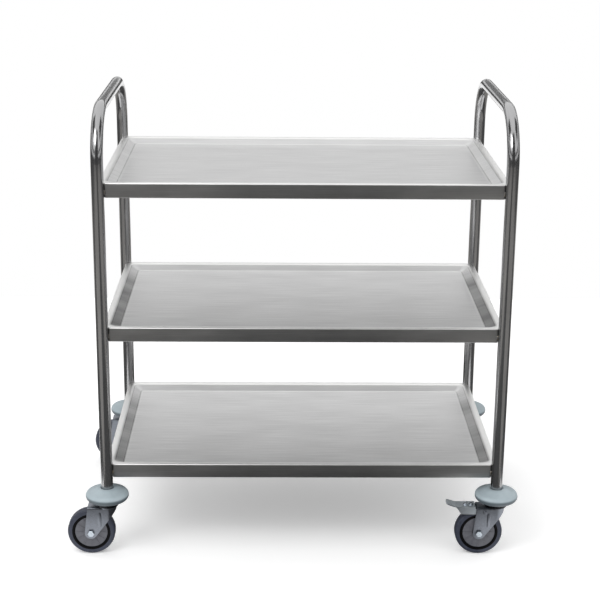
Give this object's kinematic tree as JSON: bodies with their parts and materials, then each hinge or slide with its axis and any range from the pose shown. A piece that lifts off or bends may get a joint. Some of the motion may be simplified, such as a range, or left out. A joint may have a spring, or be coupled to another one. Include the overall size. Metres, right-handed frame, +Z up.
{
  "type": "serving trolley",
  "caption": "Stainless serving trolley: bent-tube end frames with handle bars carry pressed trays and stand on swivel castors with round buffers and pedal brakes.",
  "frame": {"origin": "on the floor, midway between the four posts", "axes": "+Z up, +X along the trolley towards the braked end, +Y towards the back"},
  "size_m": [0.95, 0.59, 0.95],
  "materials": {
    "satin_tube": "satin stainless tube",
    "brushed_tray": "fine brushed stainless sheet",
    "weld_bead": "ground weld",
    "turned_steel": "turned steel",
    "bright_bolt": "zinc plated fastener",
    "zinc_plate": "bright zinc plated pressing",
    "nylon_insert": "natural nylon",
    "grey_buffer": "moulded grey thermoplastic rubber",
    "black_wheel": "moulded polypropylene",
    "grey_cover": "moulded polypropylene",
    "grey_tyre": "solid grey rubber",
    "black_rubber": "moulded rubber"
  },
  "bodies": {
    "trolley_frame": {"left_end_frame": "satin_tube", "right_end_frame": "satin_tube", "bottom_tray": "brushed_tray", "middle_tray": "brushed_tray", "top_tray": "brushed_tray", "tray_welds": "weld_bead", "stem_inserts": "nylon_insert", "castor_stems": "turned_steel", "buffer_front_left": "grey_buffer", "swivel_cup_front_left": "zinc_plate", "buffer_front_right": "grey_buffer", "swivel_cup_front_right": "zinc_plate", "buffer_rear_left": "grey_buffer", "swivel_cup_rear_left": "zinc_plate", "buffer_rear_right": "grey_buffer", "swivel_cup_rear_right": "zinc_plate"},
    "swivel_front_left": {"fork_front_left": "zinc_plate", "swivel_balls_front_left": "turned_steel", "axle_bolt_front_left": "bright_bolt", "axle_nut_front_left": "bright_bolt", "axle_sleeve_front_left": "turned_steel"},
    "wheel_front_left": {"wheel_body_front_left": "black_wheel", "tyre_front_left": "grey_tyre", "wheel_bush_front_left": "nylon_insert", "cover_discs_front_left": "grey_cover"},
    "swivel_front_right": {"fork_front_right": "zinc_plate", "swivel_balls_front_right": "turned_steel", "axle_bolt_front_right": "bright_bolt", "axle_nut_front_right": "bright_bolt", "axle_sleeve_front_right": "turned_steel", "pedal_rivets_front_right": "bright_bolt"},
    "wheel_front_right": {"wheel_body_front_right": "black_wheel", "tyre_front_right": "grey_tyre", "wheel_bush_front_right": "nylon_insert", "cover_discs_front_right": "grey_cover"},
    "brake_front_right": {"brake_pedal_front_right": "zinc_plate", "brake_shoe_front_right": "black_rubber"},
    "swivel_rear_left": {"fork_rear_left": "zinc_plate", "swivel_balls_rear_left": "turned_steel", "axle_bolt_rear_left": "bright_bolt", "axle_nut_rear_left": "bright_bolt", "axle_sleeve_rear_left": "turned_steel"},
    "wheel_rear_left": {"wheel_body_rear_left": "black_wheel", "tyre_rear_left": "grey_tyre", "wheel_bush_rear_left": "nylon_insert", "cover_discs_rear_left": "grey_cover"},
    "swivel_rear_right": {"fork_rear_right": "zinc_plate", "swivel_balls_rear_right": "turned_steel", "axle_bolt_rear_right": "bright_bolt", "axle_nut_rear_right": "bright_bolt", "axle_sleeve_rear_right": "turned_steel", "pedal_rivets_rear_right": "bright_bolt"},
    "wheel_rear_right": {"wheel_body_rear_right": "black_wheel", "tyre_rear_right": "grey_tyre", "wheel_bush_rear_right": "nylon_insert", "cover_discs_rear_right": "grey_cover"},
    "brake_rear_right": {"brake_pedal_rear_right": "zinc_plate", "brake_shoe_rear_right": "black_rubber"}
  },
  "joints": [
    {"name": "swivel_front_left", "type": "hinge", "parent": "trolley_frame", "child": "swivel_front_left", "pos_m": [-0.41, -0.25, 0.1], "axis": [0, 0, 1], "continuous": true},
    {"name": "wheel_front_left", "type": "hinge", "parent": "swivel_front_left", "child": "wheel_front_left", "pos_m": [-0.445, -0.25, 0.05], "axis": [0, 1, 0], "continuous": true},
    {"name": "swivel_front_right", "type": "hinge", "parent": "trolley_frame", "child": "swivel_front_right", "pos_m": [0.41, -0.25, 0.1], "axis": [0, 0, 1], "continuous": true},
    {"name": "wheel_front_right", "type": "hinge", "parent": "swivel_front_right", "child": "wheel_front_right", "pos_m": [0.375, -0.25, 0.05], "axis": [0, 1, 0], "continuous": true},
    {"name": "brake_front_right", "type": "hinge", "parent": "swivel_front_right", "child": "brake_front_right", "pos_m": [0.386, -0.25, 0.099], "axis": [0, -1, 0], "range_deg": [0, 6]},
    {"name": "swivel_rear_left", "type": "hinge", "parent": "trolley_frame", "child": "swivel_rear_left", "pos_m": [-0.41, 0.25, 0.1], "axis": [0, 0, 1], "continuous": true},
    {"name": "wheel_rear_left", "type": "hinge", "parent": "swivel_rear_left", "child": "wheel_rear_left", "pos_m": [-0.445, 0.25, 0.05], "axis": [0, 1, 0], "continuous": true},
    {"name": "swivel_rear_right", "type": "hinge", "parent": "trolley_frame", "child": "swivel_rear_right", "pos_m": [0.41, 0.25, 0.1], "axis": [0, 0, 1], "continuous": true},
    {"name": "wheel_rear_right", "type": "hinge", "parent": "swivel_rear_right", "child": "wheel_rear_right", "pos_m": [0.375, 0.25, 0.05], "axis": [0, 1, 0], "continuous": true},
    {"name": "brake_rear_right", "type": "hinge", "parent": "swivel_rear_right", "child": "brake_rear_right", "pos_m": [0.386, 0.25, 0.099], "axis": [0, -1, 0], "range_deg": [0, 6]}
  ]
}
